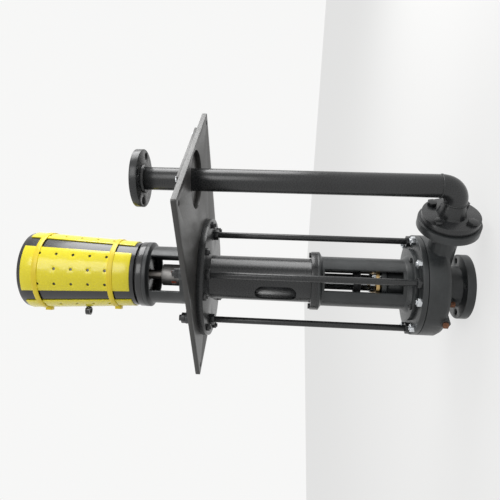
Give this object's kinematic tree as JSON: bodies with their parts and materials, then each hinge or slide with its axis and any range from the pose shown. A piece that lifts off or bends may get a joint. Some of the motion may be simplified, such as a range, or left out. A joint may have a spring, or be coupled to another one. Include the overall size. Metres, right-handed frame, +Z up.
{
  "type": "slurry pump",
  "caption": "Vertical cantilever slurry pump with support plate, tie rods, cast volute, side discharge pipe and flanged motor on top",
  "frame": {"origin": "on the shaft line, in the plane of the support plate's underside, where the pump sits on its pit cover", "axes": "+Z up the shaft line towards the motor, +X from the shaft towards the discharge pipe, +Y completes the right-hand frame"},
  "size_m": [0.6225, 0.4572, 1.322],
  "materials": {
    "pump_paint": "semi-gloss charcoal enamel",
    "plate_paint": "satin charcoal enamel",
    "zinc_steel": "bright zinc plate",
    "ground_steel": "ground and polished",
    "bearing_steel": "ground",
    "hard_iron": "as cast, high-chrome iron",
    "bronze": "machined bronze",
    "gasket_sheet": "matt fibre sheet",
    "seal_rubber": "matt nitrile rubber",
    "packing": "greased braid",
    "spider_rubber": "matt polyurethane",
    "motor_black": "satin black",
    "motor_iron": "painted iron",
    "core_steel": "laminated steel, varnished",
    "fan_plastic": "moulded",
    "jacket_yellow": "glossy yellow sheet",
    "rusty_iron": "light surface rust"
  },
  "bodies": {
    "pump": {"support_plate": "plate_paint", "pipe_cover_plates": "plate_paint", "cover_plate_screws": "zinc_steel", "column_pipe": "pump_paint", "head_flange_bolts": "pump_paint", "column_joint_bolts": "pump_paint", "lower_frame": "pump_paint", "frame_foot_screws": "pump_paint", "rear_cover": "pump_paint", "stuffing_box": "pump_paint", "packing_rings": "packing", "lantern_ring": "bronze", "gland": "bronze", "gland_studs": "zinc_steel", "volute_casing": "pump_paint", "casing_gasket": "gasket_sheet", "casing_nuts": "zinc_steel", "wear_plate": "hard_iron", "drain_plugs": "rusty_iron", "tie_rods": "pump_paint", "tie_rod_nuts": "pump_paint", "discharge_gasket": "gasket_sheet", "weld_neck_flange": "pump_paint", "discharge_elbow": "pump_paint", "discharge_pipe": "pump_paint", "outlet_flange": "pump_paint", "discharge_flange_bolts": "pump_paint", "motor_bracket": "pump_paint", "bearing_housing": "pump_paint", "upper_bearing_cap": "pump_paint", "lower_bearing_cap": "pump_paint", "bearing_screws": "zinc_steel", "shaft_seals": "seal_rubber", "upper_outer_race": "bearing_steel", "lower_outer_race": "bearing_steel", "drive_end_bell": "motor_black", "fan_end_bell": "motor_iron", "motor_frame": "motor_iron", "stator": "core_steel", "motor_bearing_outer_rings": "bearing_steel", "motor_cowl": "motor_black", "jacket_panels": "jacket_yellow", "jacket_straps": "jacket_yellow", "lifting_eye": "motor_black"},
    "rotor": {"pump_shaft": "ground_steel", "shaft_sleeve": "ground_steel", "impeller": "hard_iron", "impeller_nut": "ground_steel", "slinger": "seal_rubber", "pump_coupling_hub": "hard_iron", "coupling_spider": "spider_rubber", "motor_coupling_hub": "hard_iron", "motor_rotor": "core_steel", "cooling_fan": "fan_plastic", "motor_bearing_inner_rings": "bearing_steel", "upper_inner_race": "bearing_steel", "lower_inner_race": "bearing_steel", "bearing_locknut": "ground_steel"},
    "upper_roller_row": {"upper_rollers": "bearing_steel"},
    "lower_roller_row": {"lower_rollers": "bearing_steel"}
  },
  "joints": [
    {"name": "shaft_spin", "type": "hinge", "parent": "pump", "child": "rotor", "pos_m": [0, 0, 0], "axis": [0, 0, 1], "continuous": true},
    {"name": "upper_rollers_orbit", "type": "hinge", "parent": "pump", "child": "upper_roller_row", "pos_m": [0, 0, 0.0152], "axis": [0, 0, 1], "continuous": true},
    {"name": "lower_rollers_orbit", "type": "hinge", "parent": "pump", "child": "lower_roller_row", "pos_m": [0, 0, -0.119], "axis": [0, 0, 1], "continuous": true}
  ],
  "couplings": [
    {"joint": "upper_rollers_orbit", "follows": "shaft_spin", "ratio": 0.4154},
    {"joint": "lower_rollers_orbit", "follows": "shaft_spin", "ratio": 0.4167}
  ]
}
